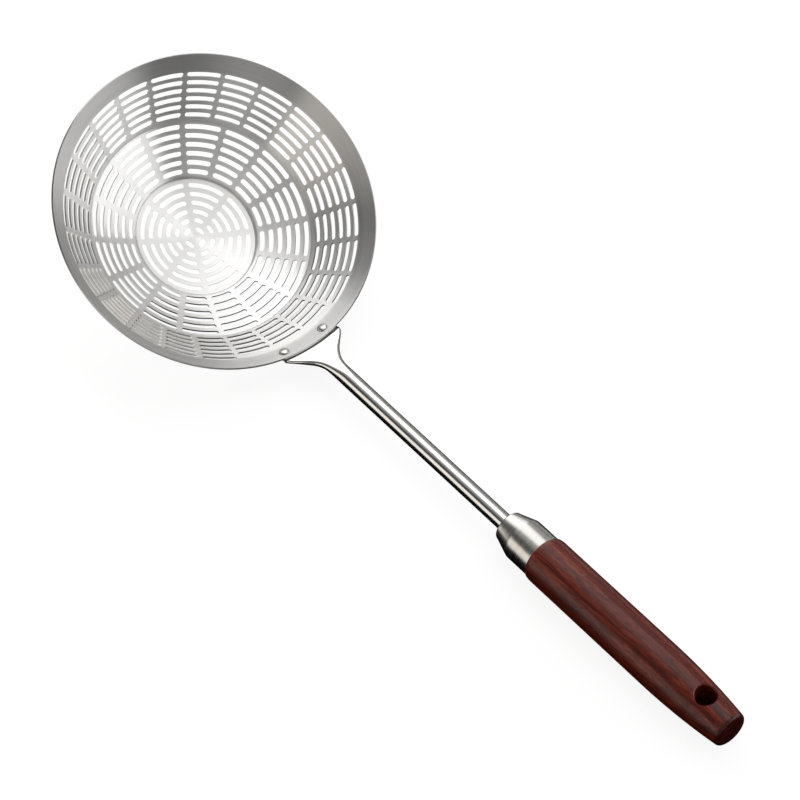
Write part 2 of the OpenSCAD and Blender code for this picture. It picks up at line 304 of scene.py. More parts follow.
def loops_of_cell(ring):
    """The cell's border and the slot's edge, as two lists of (degrees, distance) that pair up."""
    cell = 360 / ring["count"]
    across = round(cell / APART)
    degree = ring["r"] * math.pi / 180
    straight = (cell * degree - ring["spoke"] - SLOT_W) / 2
    xs = [k * APART - cell / 2 for k in range(across + 1)]
    ys = [ring["top"] + (ring["foot"] - ring["top"]) * k / SIDE for k in range(1, SIDE)]
    border = [(x, ring["top"]) for x in xs] + [(cell / 2, y) for y in ys]
    border += [(x, ring["foot"]) for x in reversed(xs)] + [(-cell / 2, y) for y in reversed(ys)]
    on_top = [k for k in range(across + 1) if abs(xs[k]) * degree <= straight]
    first, last = on_top[0], on_top[-1]
    edge = [None] * len(border)
    for k in on_top:
        x = straight * (-1 if k == first else 1) / degree if k in (first, last) else xs[k]
        edge[k] = (x, ring["middle"] - SLOT_W / 2)
        edge[2 * across + SIDE - k] = (x, ring["middle"] + SLOT_W / 2)
    for side, start, end in ((1, last, 2 * across + SIDE - last),
                             (-1, 2 * across + SIDE - first, first + len(border))):
        for k in range(start + 1, end):
            a = math.pi * (k - start) / (end - start)
            x = side * (straight + SLOT_W / 2 * math.sin(a)) / degree
            edge[k % len(border)] = (x, ring["middle"] - side * SLOT_W / 2 * math.cos(a))
    return border, edge


def ring_of_slots(ring):
    """One cell as a mesh, copied round the ring; a few may be missing in the handle's plane."""
    border, edge = loops_of_cell(ring)
    bpy.ops.object.select_all(action="DESELECT")
    bpy.ops.mesh.primitive_circle_add(vertices=len(edge), fill_type="NOTHING")
    piece = bpy.context.object
    edit((bpy.ops.mesh.extrude_edges_move, {}))  # the copy becomes the cell's border
    mesh = piece.data
    cell = 360 / ring["count"]
    start = (ring["shift"] + (ring["missing"] + 1) // 2) * cell
    for e in mesh.edges:
        low, high = sorted(e.vertices)
        if low < len(edge) <= high:
            mesh.vertices[low].co = (edge[low][0] + start, edge[low][1], 0)
            mesh.vertices[high].co = (border[low][0] + start, border[low][1], 0)
    modify(piece, "round the bowl", "ARRAY", count=ring["count"] - ring["missing"],
           use_relative_offset=False, use_constant_offset=True,
           constant_offset_displace=(cell, 0, 0))
    return piece


def plain_sheet(distances, first, last):
    """Sheet without slots from one angle to another, with a row at each distance."""
    return grid("band", round((last - first) / APART), len(distances) - 1,
                lambda column, row: (first + column * APART, distances[row], 0))


flat = [ring_of_slots(ring) for ring in rings] + [plain_sheet(d, 0, 360) for d in plain_bands]
top_ring = rings[0]
quarters = [top_ring["top"] + (top_ring["foot"] - top_ring["top"]) * k / SIDE
            for k in range(SIDE + 1)]
left_out = 360 / top_ring["count"] * top_ring["missing"] / 2
flat.append(plain_sheet(quarters, -left_out, left_out))
print(len(flat), "flat bands,", sum(ring["count"] - ring["missing"] for ring in rings), "slots")

# %% [markdown]
# ## Wrap the flat sheet into the bowl
# Bending tools need a window here, so the wrap is done in code: each flat point goes to its
# place on the section, turned about the axis. The UV map and an attribute are written first.
# The attribute holds a point on a circle and the distance from the rim, so that a pattern
# can run round the bowl without a seam. Solidify then gives the sheet its thickness.

# %% Wrap, weld and thicken
PATTERN_TURN = -3.0  # degrees from the handle's plane
for piece in flat:
    for name in [layer.name for layer in piece.data.uv_layers]:
        piece.data.uv_layers.remove(piece.data.uv_layers[name])
bowl = joined(*flat)
bowl.name = "slotted_bowl"
mesh = bowl.data
uv = mesh.uv_layers.new(name=SHEET_UV)
brushing = mesh.attributes.new("brushing", "FLOAT_VECTOR", "POINT")
for loop in mesh.loops:
    x, y, _ = mesh.vertices[loop.vertex_index].co
    uv.data[loop.index].uv = (y / 100, x / 360)
distances, radii, heights = np.array(section).T
for vertex in mesh.vertices:
    angle, distance = math.radians(vertex.co.x + PATTERN_TURN), vertex.co.y
    r, z = np.interp(distance, distances, radii), np.interp(distance, distances, heights)
    brushing.data[vertex.index].vector = (math.cos(angle), math.sin(angle), distance * MM)
    vertex.co = laid(r * math.cos(angle), r * math.sin(angle), z)
weld(bowl)
up = heading(0, 0, 1)  # a sheet has no outside, so its faces are turned into the bowl
if sum(face.normal.dot(up) * face.area for face in mesh.polygons) < 0:
    edit((bpy.ops.mesh.flip_normals, {}))
modify(bowl, "sheet", "SOLIDIFY", thickness=WALL * MM, offset=-1, use_even_offset=True,
       use_quality_normals=True)
kept(bowl, "strainer_bowl")

# %% [markdown]
# ## The handle tube and its fan
# The tube is round, then pressed into a flat fan with hollow flanks, and its end is bent down
# along the bowl's wall. All of that is one skin through many sections: each section is two flats
# joined by two half rounds, and on the round tube the flats have no length. The press leaves the
# fan about 4 mm thick and only the flange lies flat. Beside the rim the fan's top starts with a
# short rounded edge, so a groove shows there, and then it rises straight towards the tube. A
# curve with a round bevel would give a bent tube sooner, but it can't go flat and wide.

# %% The fan, measured from the rim
TUBE_R, TUBE_END, PLATE = 4.75, 234.0, 1.7       # PLATE is the tube pressed flat
FLANGE_DROP, FLANGE_HALF, CORNER_R = 11.5, 18.6, 3.0
LIP_R, LIP_Z, LIP_HALF = 91.3, 0.1, 18.0         # where the fan's top face starts
WALL_GAP, BENT_OFF = 0.05, 0.3                   # the plate thins where it leaves the wall
SHIFT_FADES = 4.0                                # down the wall, the fan's shift to the side
# distance along the handle, half width, height, middle over the axis, shift to the side
FAN = np.array([
    (-3.5, 19.0, 1.7, -1.60, 0.30), (-1, 18.6, 1.7, -1.30, 0.55), (1, 17.9, 2.0, -0.82, 0.75),
    (3, 16.4, 2.45, -0.20, 0.80), (5, 14.75, 2.9, 0.25, 0.68), (7, 12.95, 3.3, 0.52, 0.50),
    (9, 11.1, 3.6, 0.66, 0.38), (11, 9.35, 3.8, 0.73, 0.32), (13, 7.85, 4.1, 0.73, 0.31),
    (15, 6.7, 4.4, 0.64, 0.27), (17, 5.85, 4.85, 0.50, 0.18), (19, 5.3, 5.4, 0.30, 0.08),
    (21, 5.0, 6.2, 0.15, 0.02), (24, 4.82, 7.4, 0.04, 0), (28, 4.76, 8.9, 0, 0),
    (32, 4.75, 9.5, 0, 0), (36, 4.75, 9.5, 0, 0)])
ROUND_TUBE = 96                    # faces round the tube
BOWED = 10.0                       # up to here the rows of points bow along the rim
RAMP_END, RAMP_SLOPE = 9.0, 0.23   # up to here the fan's top rises straight, by this much per mm
ROLL = 1.0                         # the rounded edge beside the rim


def through(table, x):
    """A smooth curve through the rows of a table, at x."""
    xs, ys = table[:, 0], table[:, 1:]
    slopes = np.gradient(ys, xs, axis=0)
    i = int(np.clip(np.searchsorted(xs, x) - 1, 0, len(xs) - 2))
    step = xs[i + 1] - xs[i]
    t = (np.clip(x, xs[0], xs[-1]) - xs[i]) / step
    return ((2 * t ** 3 - 3 * t ** 2 + 1) * ys[i] + (t ** 3 - 2 * t ** 2 + t) * step * slopes[i]
            + (3 * t ** 2 - 2 * t ** 3) * ys[i + 1] + (t ** 3 - t ** 2) * step * slopes[i + 1])


def ring_point(part, flat_half, height):
    """A point round a section: (how far across the flats, side, angle from its top)."""
    edge = math.pi * height / 2
    whole = 4 * flat_half + 2 * edge
    d = (part % 1) * whole
    if d < flat_half:
        return d, 1, 0.0
    d -= flat_half
    if d < edge:
        return flat_half, 1, d / edge * math.pi
    d -= edge
    if d < 2 * flat_half:
        return flat_half - d, 1, math.pi
    d -= 2 * flat_half
    if d < edge:
        return -flat_half, -1, math.pi - d / edge * math.pi
    return -flat_half + d - edge, -1, 0.0


def lip_at(y):
    """Where the fan's top face starts beside the rim: along the handle and over its axis."""
    x = math.sqrt(LIP_R ** 2 - y ** 2) - HANDLE_X
    z = LIP_Z - HANDLE_Z
    return (x * math.cos(HANDLE_ANGLE) + z * math.sin(HANDLE_ANGLE),
            z * math.cos(HANDLE_ANGLE) - x * math.sin(HANDLE_ANGLE))


def on_fan(share, part):
    """A point of the fan, from its lip (share 0) to where its rows run straight (share 1)."""
    width, height, _, _ = through(FAN, lip_at(0)[0] + (BOWED - lip_at(0)[0]) * share)
    flat = width - height / 2
    y, side, a = ring_point(part, flat, height)
    start, top = lip_at(y / flat * LIP_HALF)
    along = start + (BOWED - start) * share
    width, height, middle, aside = through(FAN, along)
    if along < RAMP_END:
        _, end_height, end_middle, _ = through(FAN, RAMP_END)
        roof = end_middle + end_height / 2 - RAMP_SLOPE * (RAMP_END - along)
        rolled = min(1.0, (along - start) / ROLL)
        roof = top + (roof - top) * math.sqrt(1 - (1 - rolled) ** 2)
        under = min(middle - height / 2, roof - PLATE)
        height, middle = roof - under, (roof + under) / 2
    across = aside + y / flat * (width - height / 2) + side * height / 2 * math.sin(a)
    return on_handle(along, across, middle + height / 2 * math.cos(a))


# %% [markdown]
# The flange lies along the outside of the wall and bends away from it just under the rim. Its two
# lower corners are cut round, so its rows grow narrower towards its foot.

# %% The flange, and the skin through all sections
# down the wall from the rim, gap between the wall and the flange
FLANGE = [(down, WALL_GAP) for down in (FLANGE_DROP, 11.2, 10.6, 9.6, 8.5, 6.5, 4.5, 3.0)]
FLANGE += [(2.2, 0.08), (1.6, 0.2), (1.0, 0.45), (0.4, 0.78), (-0.1, 0.95), (-0.5, 1.0)]


def on_flange(down, gap, part):
    """A point of the flange, which is thinner than the fan."""
    past_corner = max(0.0, down - FLANGE_DROP + CORNER_R)
    narrowed = CORNER_R - math.sqrt(max(0.0, CORNER_R ** 2 - past_corner ** 2))
    width, height, _, aside = through(FAN, lip_at(0)[0])
    flat = width - height / 2
    y, side, a = ring_point(part, flat, height)
    spread = FLANGE_HALF - PLATE / 2 - narrowed
    y = (aside * max(0.0, 1 - down / SHIFT_FADES) + y / flat * spread
         + side * PLATE / 2 * math.sin(a))
    slope = math.radians(OUTER_SLOPE)
    off = gap + (PLATE - (gap - WALL_GAP) * BENT_OFF) / 2 * (1 - math.cos(a))
    r = BOWL_R - down * math.cos(slope) + off * math.sin(slope)
    z = -WALL * math.cos(slope) - down * math.sin(slope) - off * math.cos(slope)
    return laid(r * math.cos(y / BOWL_R), r * math.sin(y / BOWL_R), z)


FAN_ROWS = 20  # the rows of the fan lie closer towards the rim, where its edge is rounded
tube_rows = [("flange", row) for row in FLANGE]
tube_rows += [("fan", (i / FAN_ROWS) ** 2) for i in range(FAN_ROWS + 1)]
tube_rows += [("tube", BOWED + i) for i in range(1, 25)]
tube_rows += [("tube", d) for d in (36, 45, 60, 80, 100, 120, 140, 160, 180, TUBE_END)]


def tube_point(column, row):
    """A point of the whole skin, from the flange's foot to the tube's hidden end."""
    kind, value = tube_rows[row]
    part = column / ROUND_TUBE
    if kind == "flange":
        return on_flange(*value, part)
    if kind == "fan":
        return on_fan(value, part)
    width, height, middle, aside = through(FAN, value)
    y, side, a = ring_point(part, max(0.0, width - height / 2), height)
    return on_handle(value, aside + y + side * height / 2 * math.sin(a),
                     middle + height / 2 * math.cos(a))


tube = grid("pressed_tube", ROUND_TUBE, len(tube_rows) - 1, tube_point)
weld(tube)
close_ends()
kept(tube, "handle_tube", angle=50)

# %% [markdown]
# ## Turned pieces: rivets, ferrule and grip
# A lathe turns one outline about an axis. Blender's spin would do the same, but here the outline
# gives the rows of a grid and its columns go round the axis, which leaves an even UV map for the
# brushing. Cylinders and cones set end to end would show a seam at each change of width.

# %% Turn an outline
def rounded(a, corner, b, radius, strokes=6):
    """Points of an arc that rounds a corner of an outline."""
    a, corner, b = np.array(a, float), np.array(corner, float), np.array(b, float)
    u, v = (a - corner) / np.linalg.norm(a - corner), (b - corner) / np.linalg.norm(b - corner)
    half = math.acos(np.clip(u @ v, -1, 1)) / 2
    centre = corner + (u + v) / np.linalg.norm(u + v) * radius / math.sin(half)
    start = corner + u * radius / math.tan(half) - centre
    end = corner + v * radius / math.tan(half) - centre
    sweep = math.pi - 2 * half
    weights = [(math.sin((1 - i / strokes) * sweep) / math.sin(sweep),
                math.sin(i / strokes * sweep) / math.sin(sweep)) for i in range(strokes + 1)]
    return [tuple(centre + start * from_start + end * from_end) for from_start, from_end in weights]


def turned(name, outline, place, columns=96):
    """Turns (distance along the axis, radius) points about an axis that place knows."""
    def point(column, row):
        along, r = outline[row]
        a = 2 * math.pi * column / columns
        return place(along, r * math.sin(a), r * math.cos(a))
    piece = grid(name, columns, len(outline) - 1, point)
    weld(piece)
    return piece


# %% [markdown]
# ### Rivets
# Each rivet is a shank with a low domed head on both sides of the wall and the flange. A set
# tool leaves the head's edge steep and its top rounder, which gives the dark ring round it. Half
# a flattened sphere would lack that edge, so the head's outline is drawn and turned.

# %% Two rivets
RIVET_R, RIVET_Z = 85.4502, -4.3103  # where its axis goes through the inside of the wall
RIVET_TURN, RIVET_ANGLE = math.radians(-0.5), math.radians(8.8185)
HEAD_R, HEAD_H, SHANK_R = 2.9, 1.4, 1.6
HEAD_EDGE = 0.25  # height of the head's upright edge
GRIPPED = WALL + PLATE + 2 * WALL_GAP


def head_outline(level, way):
    """A domed head from its edge to the axis, standing on a level and rising one way."""
    return [(level, SHANK_R), (level, HEAD_R)] + [
        (level + way * (HEAD_EDGE + (HEAD_H - HEAD_EDGE) * math.sin(a)), HEAD_R * math.cos(a))
        for a in (math.pi / 2 * i / 10 for i in range(11))]


def rivet(name, node, side):
    """A rivet to one side of the handle's plane, its axis square to the wall."""
    slope, angle = math.radians(OUTER_SLOPE), RIVET_TURN + side * RIVET_ANGLE

    def place(along, across, up_wall):
        r = RIVET_R - along * math.sin(slope) + up_wall * math.cos(slope)
        z = RIVET_Z + along * math.cos(slope) + up_wall * math.sin(slope)
        return laid(r * math.cos(angle) - across * math.sin(angle),
                    r * math.sin(angle) + across * math.cos(angle), z)

    outline = head_outline(-GRIPPED, -1)[::-1] + head_outline(WALL_GAP, 1)
    return kept(turned(name, outline, place, 64), node)


left_rivet = rivet("left_rivet", "rivet_left", 1)
right_rivet = rivet("right_rivet", "rivet_right", -1)

# %% [markdown]
# ### Ferrule
# A ferrule keeps the wood from splitting and hides the joint. It is a drawn steel cap: a flat
# nose with the hole for the tube, a cone and a straight barrel, all of one wall. Its outside is
# turned with rounded edges, because a drawn cap has none that are sharp.

# %% Turn the ferrule
NOSE_AT, BARREL_AT, GRIP_AT = 159.0, 171.0, 186.5
BARREL_R, NOSE_R, FERRULE_WALL = 12.3, 8.8, 1.2
NOSE_ROUND, CONE_BEND, OPEN_EDGE = 1.4, 6.0, 0.25  # radii of its edges, from the nose on
hole_r, inner_r = TUBE_R + WALL_GAP, BARREL_R - FERRULE_WALL
outside = [(NOSE_AT, hole_r), (NOSE_AT, NOSE_R - NOSE_ROUND)]
outside += [(NOSE_AT + NOSE_ROUND * (1 - math.cos(a)), NOSE_R - NOSE_ROUND * (1 - math.sin(a)))
            for a in (math.pi / 2 * i / 8 for i in range(1, 9))]
outside += rounded(outside[-1], (BARREL_AT, BARREL_R), (GRIP_AT, BARREL_R), CONE_BEND, 8)
outside += rounded((BARREL_AT, BARREL_R), (GRIP_AT, BARREL_R), (GRIP_AT, 0), OPEN_EDGE, 3)
# the inside turns its corners half a wall further along, so that the wall stays even
inside_of_cap = [(GRIP_AT, inner_r), (BARREL_AT + FERRULE_WALL / 2, inner_r),
                 (NOSE_AT + NOSE_ROUND + FERRULE_WALL, NOSE_R - FERRULE_WALL),
                 (NOSE_AT + FERRULE_WALL, NOSE_R - NOSE_ROUND), (NOSE_AT + FERRULE_WALL, hole_r),
                 (NOSE_AT, hole_r)]
cap = turned("ferrule_cap", outside + inside_of_cap, on_handle)
kept(cap, "ferrule")

# %% [markdown]
# ### Grip
# The grip is turned from one stick: a short shoulder behind the ferrule, a straight body and a
# long curved taper to a rounded butt. Its tenon fills the ferrule and is bored for the tube.
# Rows are closer where it tapers, so that the hanging hole cuts through small, even faces. The
# bore is an outline of its own that is turned and welded in, which is cleaner than a cut.

# %% Turn the grip
GRIP_R, BUTT_R, BUTT_AT = 13.3, 9.8, 327.0
TAPER, SHOULDER, BUTT_ROUND = 53.0, 4.0, 2.2
TENON_AT, BORE_END = NOSE_AT + 1.3, TUBE_END + 2
taper_r = (TAPER ** 2 + (GRIP_R - BUTT_R) ** 2) / (2 * (GRIP_R - BUTT_R))


def grip_radius(along):
    """The wood's radius on its taper, an arc that starts in line with the straight body."""
    into = max(0.0, along - (BUTT_AT - TAPER))
    return GRIP_R - taper_r + math.sqrt(taper_r ** 2 - into ** 2)


wood = [(TENON_AT, hole_r), (TENON_AT, NOSE_R - NOSE_ROUND), (BARREL_AT + 0.7, inner_r - WALL_GAP),
        (GRIP_AT, inner_r - WALL_GAP), (GRIP_AT, BARREL_R - 0.2)]
wood += [(GRIP_AT + SHOULDER * (1 - math.cos(a)), BARREL_R + (GRIP_R - BARREL_R) * math.sin(a))
         for a in (math.pi / 2 * i / 10 for i in range(11))]
wood += [(x, GRIP_R) for x in np.linspace(GRIP_AT + SHOULDER, BUTT_AT - TAPER, 12)[1:]]
edge_at = BUTT_AT - BUTT_ROUND
wood += [(x, grip_radius(x)) for x in np.linspace(BUTT_AT - TAPER, edge_at, 27)[1:]]
edge_r = grip_radius(edge_at)
wood += [(edge_at + BUTT_ROUND * math.sin(a), edge_r - BUTT_ROUND * (1 - math.cos(a)))
         for a in (math.pi / 2 * i / 8 for i in range(1, 9))]
wood += [(BUTT_AT, 4.0), (BUTT_AT, 0.0)]
bored = [(BORE_END, 0.0), (BORE_END, hole_r), (TENON_AT, hole_r)]
grip = joined(turned("rosewood_grip", wood, on_handle, 128), turned("bore", bored, on_handle, 128))
weld(grip)
print("the wood's outline has", len(wood), "points")

# %% [markdown]
# The hanging hole is drilled square to the grip and its mouth is eased with a countersink that
# follows the round wood, so the drill is drawn with a flare whose height changes round it. A
# plain cylinder and a bevel afterwards would leave an edge that is wide in one place and thin in
# the next.

# %% Drill the hanging hole
HOLE_AT, HOLE_R, EASE, ROUND_HOLE = 308.0, 5.8, 0.6, 96
# which face of the wood, how far beyond it in widths of the eased edge, 1 where it is widened
DRILL_ROWS = ((-1, 4.0, 1), (-1, 0.0, 1), (-1, -1.0, 0), (1, -1.0, 0), (1, 0.0, 1), (1, 4.0, 1))


def drill_point(column, row):
    """Rows go from under the wood to above it; beyond the eased edge the drill only widens."""
    face, beyond, widened = DRILL_ROWS[row]
    a = 2 * math.pi * column / ROUND_HOLE
    r = HOLE_R + (widened + max(0.0, beyond)) * EASE
    mouth_r = HOLE_R + EASE
    skin = math.sqrt(grip_radius(HOLE_AT + mouth_r * math.cos(a)) ** 2
                     - (mouth_r * math.sin(a)) ** 2)
    return on_handle(HOLE_AT + r * math.cos(a), r * math.sin(a), face * (skin + beyond * EASE))


drill = grid("drill", ROUND_HOLE, len(DRILL_ROWS) - 1, drill_point)
weld(drill)
close_ends()
modify(grip, "hanging hole", "BOOLEAN", operation="DIFFERENCE", solver="EXACT", object=drill)
bpy.data.objects.remove(drill)
kept(grip, "wooden_grip", angle=30)

# %% [markdown]
# ## Materials
# Colours are written as sRGB hex values, as a paint maker gives them, and one function makes
# them linear. Nodes are added by one small function, with their settings and their links. Each
# pattern's scale is a real size: a mark of so many millimetres gives 1000 / mm to the metre.

# %% Colours and nodes
def hex_colour(text):
    """An sRGB hex colour as the linear red, green, blue and alpha that shaders take."""
    parts = [int(text[i:i + 2], 16) / 255 for i in (1, 3, 5)]
    linear = [c / 12.92 if c <= 0.04045 else ((c + 0.055) / 1.055) ** 2.4 for c in parts]
    return (*linear, 1.0)


def grey(value):
    """A grey that only scales another colour, so it is written as that share."""
    return (value, value, value, 1.0)


def add_node(material, kind, inputs=None, stops=(), **settings):
    """Adds a node; an input is a value or another node's output, stops are a ramp's colours."""
    node = material.node_tree.nodes.new(kind)
    for name, value in settings.items():
        setattr(node, name, value)
    for i, (position, colour) in enumerate(stops):
        if i == len(node.color_ramp.elements):
            node.color_ramp.elements.new(position)
        node.color_ramp.elements[i].position = position
        node.color_ramp.elements[i].color = colour
    for name, value in (inputs or {}).items():
        if isinstance(value, bpy.types.NodeSocket):
            material.node_tree.links.new(value, node.inputs[name])
        else:
            node.inputs[name].default_value = value
    return node


def new_material(name, **values):
    """A material with its Principled shader, whose plain values go on its own sockets."""
    material = bpy.data.materials.new(name)
    material.use_nodes = True
    shader = material.node_tree.nodes["Principled BSDF"]
    for key, value in values.items():
        shader.inputs[key.replace("_", " ")].default_value = value
    return material, shader


def plug_in(material, shader, outputs):
    """Links nodes' outputs to the shader's sockets of these names."""
    for name, output in outputs.items():
        material.node_tree.links.new(output, shader.inputs[name])
    print(material.name, "has", len(material.node_tree.nodes), "nodes")


# %% [markdown]
# ### Brushed stainless steel of the bowl
# The pressed bowl was spun against an abrasive belt, so hair-fine scratches run round it.
# Scratches spread a reflection across themselves: light shows as bright fans from the middle to
# the rim. The anisotropic value does that, along the UV map's U, which runs across the strokes.
# Real strokes are some hundredths of a millimetre wide; they are drawn about half a millimetre
# wide, so that they show, with broader bands of 4 mm under them. The plain band at the rim was
# brushed more coarsely, so it looks darker, down to where the first slots start.

# %% Steel for the bowl
STROKES_PER_MM, BANDS_PER_MM = 2.2, 0.26
bowl_steel, shader = new_material("stainless_steel_brushed_round", Metallic=1.0, Anisotropic=0.9)
place = add_node(bowl_steel, "ShaderNodeAttribute", attribute_name="brushing")
strokes_at = add_node(bowl_steel, "ShaderNodeMapping", {
    "Vector": place.outputs["Vector"], "Scale": (2.0, 2.0, STROKES_PER_MM / MM)})
strokes = add_node(bowl_steel, "ShaderNodeTexNoise", {
    "Vector": strokes_at.outputs["Vector"], "Scale": 1.0, "Detail": 3.0, "Roughness": 0.6})
bands_at = add_node(bowl_steel, "ShaderNodeMapping", {
    "Vector": place.outputs["Vector"], "Scale": (1.2, 1.2, BANDS_PER_MM / MM)})
bands = add_node(bowl_steel, "ShaderNodeTexNoise", {
    "Vector": bands_at.outputs["Vector"], "Scale": 1.0, "Detail": 2.0})
brushed = add_node(bowl_steel, "ShaderNodeMix", {
    "Factor": 0.4, "A": strokes.outputs["Fac"], "B": bands.outputs["Fac"]}, data_type="FLOAT")
tone = add_node(bowl_steel, "ShaderNodeValToRGB", {"Fac": brushed.outputs["Result"]},
                stops=[(0.3, hex_colour("#d4d4d2")), (0.7, hex_colour("#eae9e7"))])
rough = add_node(bowl_steel, "ShaderNodeMapRange", {
    "Value": brushed.outputs["Result"], "From Min": 0.3, "From Max": 0.7,
    "To Min": 0.3, "To Max": 0.4})
groove = add_node(bowl_steel, "ShaderNodeBump", {
    "Height": strokes.outputs["Fac"], "Strength": 0.08, "Distance": 0.1 * MM})
across = add_node(bowl_steel, "ShaderNodeTangent", direction_type="UV_MAP", uv_map=SHEET_UV)

# %% A darker band at the rim
DEPTH_SCALE = 50.0  # makes 10 mm from the rim 0.5 on the ramp
from_rim = add_node(bowl_steel, "ShaderNodeSeparateXYZ", {"Vector": place.outputs["Vector"]})
depth = add_node(bowl_steel, "ShaderNodeMath", {0: from_rim.outputs["Z"], 1: DEPTH_SCALE},
                 operation="MULTIPLY")
coarser = add_node(bowl_steel, "ShaderNodeValToRGB", {"Fac": depth.outputs[0]},
                   stops=[(0.5, grey(0.68)), (0.62, grey(1.0))])
toned = add_node(bowl_steel, "ShaderNodeMix", {
    "Factor": 1.0, "A": tone.outputs["Color"], "B": coarser.outputs["Color"]},
    data_type="RGBA", blend_type="MULTIPLY")
plug_in(bowl_steel, shader, {
    "Base Color": toned.outputs["Result"], "Roughness": rough.outputs["Result"],
    "Normal": groove.outputs["Normal"], "Tangent": across.outputs["Tangent"]})
bowl.data.materials.append(bowl_steel)

# %% [markdown]
# ### Polished stainless steel of the tube and the rivets
# The tube is drawn and then buffed, which leaves a bright skin with faint marks along it, about
# 14 mm long and 0.6 mm wide. Buffed steel mirrors its surroundings in sharp bands, dark at the
# edges. The low specular tint is painted shade: it darkens the steel's own colour at its edges,
# in place of the dark surroundings that the real tube mirrors there.

# %% Steel for the tube and the rivets
# painted shade: a dark edge tint for the steel, in place of the dark surroundings it mirrors
PAINTED_EDGE_SHADE = grey(0.2)


def polished_steel(name, roughness, darker, lighter, mark_length, mark_width):
    """Buffed steel with faint marks, whose length and width are in mm."""
    material, shader = new_material(name, Metallic=1.0, Specular_Tint=PAINTED_EDGE_SHADE)
    place = add_node(material, "ShaderNodeTexCoord")
    marks_at = add_node(material, "ShaderNodeMapping", {
        "Vector": place.outputs["Object"],
        "Scale": (1000 / mark_length, 1000 / mark_width, 1000 / mark_width)})
    marks = add_node(material, "ShaderNodeTexNoise", {
        "Vector": marks_at.outputs["Vector"], "Scale": 1.0, "Detail": 4.0})
    rough = add_node(material, "ShaderNodeMapRange", {
        "Value": marks.outputs["Fac"], "From Min": 0.3, "From Max": 0.7,
        "To Min": roughness * 0.8, "To Max": roughness * 1.25})
    tone = add_node(material, "ShaderNodeValToRGB", {"Fac": marks.outputs["Fac"]},
                    stops=[(0.3, hex_colour(darker)), (0.7, hex_colour(lighter))])
    plug_in(material, shader, {"Roughness": rough.outputs["Result"],
                               "Base Color": tone.outputs["Color"]})
    return material


tube.data.materials.append(
    polished_steel("stainless_steel_buffed_tube", 0.16, "#c4c3bf", "#d6d5d2", 14.0, 0.6))
rivet_steel = polished_steel("stainless_steel_rivet", 0.2, "#bdbcb8", "#d0cfcc", 0.8, 0.8)
for piece in (left_rivet, right_rivet):
    piece.data.materials.append(rivet_steel)

# %% [markdown]
# ### Satin stainless steel of the ferrule
# The cap was turned against fine paper, so its strokes run round it, closer than the bowl's:
# they are drawn 2.6 to the millimetre along the handle, and change slowly round it.

# %% Steel for the ferrule
FINE_STROKES_PER_MM, ROUND_IT_MM = 2.6, 25.0
# the ferrule's low specular tint paints the same shade on its edges as on the tube's
ferrule_steel, shader = new_material("stainless_steel_satin_ferrule", Metallic=1.0,
                                     Anisotropic=0.5, Specular_Tint=PAINTED_EDGE_SHADE)
place = add_node(ferrule_steel, "ShaderNodeTexCoord")
strokes_at = add_node(ferrule_steel, "ShaderNodeMapping", {
    "Vector": place.outputs["Object"],
    "Scale": (FINE_STROKES_PER_MM / MM, 1000 / ROUND_IT_MM, 1000 / ROUND_IT_MM)})
strokes = add_node(ferrule_steel, "ShaderNodeTexNoise", {
    "Vector": strokes_at.outputs["Vector"], "Scale": 1.0, "Detail": 3.0})
tone = add_node(ferrule_steel, "ShaderNodeValToRGB", {"Fac": strokes.outputs["Fac"]},
                stops=[(0.3, hex_colour("#b8b6b1")), (0.7, hex_colour("#cfcdc8"))])
rough = add_node(ferrule_steel, "ShaderNodeMapRange", {
    "Value": strokes.outputs["Fac"], "From Min": 0.3, "From Max": 0.7,
    "To Min": 0.26, "To Max": 0.34})
groove = add_node(ferrule_steel, "ShaderNodeBump", {
    "Height": strokes.outputs["Fac"], "Strength": 0.02, "Distance": 0.1 * MM})
across = add_node(ferrule_steel, "ShaderNodeTangent", direction_type="UV_MAP", uv_map=SHEET_UV)
plug_in(ferrule_steel, shader, {
    "Base Color": tone.outputs["Color"], "Roughness": rough.outputs["Result"],
    "Normal": groove.outputs["Normal"], "Tangent": across.outputs["Tangent"]})
cap.data.materials.append(ferrule_steel)

# %% [markdown]
# ### Oiled rosewood
# Rosewood is red-brown with darker layers that wander along the stick, and its pores show as
# short dark scratches along the grain. All three are noise drawn out along the handle: layers
# 3 mm wide, streaks of 0.7 mm, and pores that are drawn 0.35 mm wide so that they show. Oil gives
# the wood a soft sheen, duller in the pores. The end grain soaks up more of it and is darker.

# %% Rosewood for the grip
rosewood, shader = new_material("rosewood_oiled", Specular_IOR_Level=0.34)
place = add_node(rosewood, "ShaderNodeTexCoord")
along_stick = add_node(rosewood, "ShaderNodeMapping", {
    "Vector": place.outputs["Object"], "Rotation": (0.0, LIE - HANDLE_ANGLE, 0.0)})


def grain(length, width, detail, roughness=0.55, distortion=0.0):
    """Noise drawn out along the stick: how long and how wide its marks are, in mm."""
    scaled = add_node(rosewood, "ShaderNodeMapping", {
        "Vector": along_stick.outputs["Vector"],
        "Scale": (1000 / length, 1000 / width, 1000 / width)})
    return add_node(rosewood, "ShaderNodeTexNoise", {
        "Vector": scaled.outputs["Vector"], "Scale": 1.0, "Detail": detail,
        "Roughness": roughness, "Distortion": distortion}).outputs["Fac"]


layers = add_node(rosewood, "ShaderNodeValToRGB", {"Fac": grain(45, 3.0, 4.0, 0.6, 1.2)}, stops=[
    (0.32, hex_colour("#43140a")), (0.5, hex_colour("#661e0f")), (0.68, hex_colour("#8a3820"))])
streaks = add_node(rosewood, "ShaderNodeValToRGB", {"Fac": grain(12, 0.7, 4.0, 0.65)},
                   stops=[(0.36, grey(0.32)), (0.58, grey(1.0))])
pores = add_node(rosewood, "ShaderNodeValToRGB", {"Fac": grain(5, 0.35, 1.0)},
                 stops=[(0.34, grey(0.3)), (0.42, grey(1.0))])

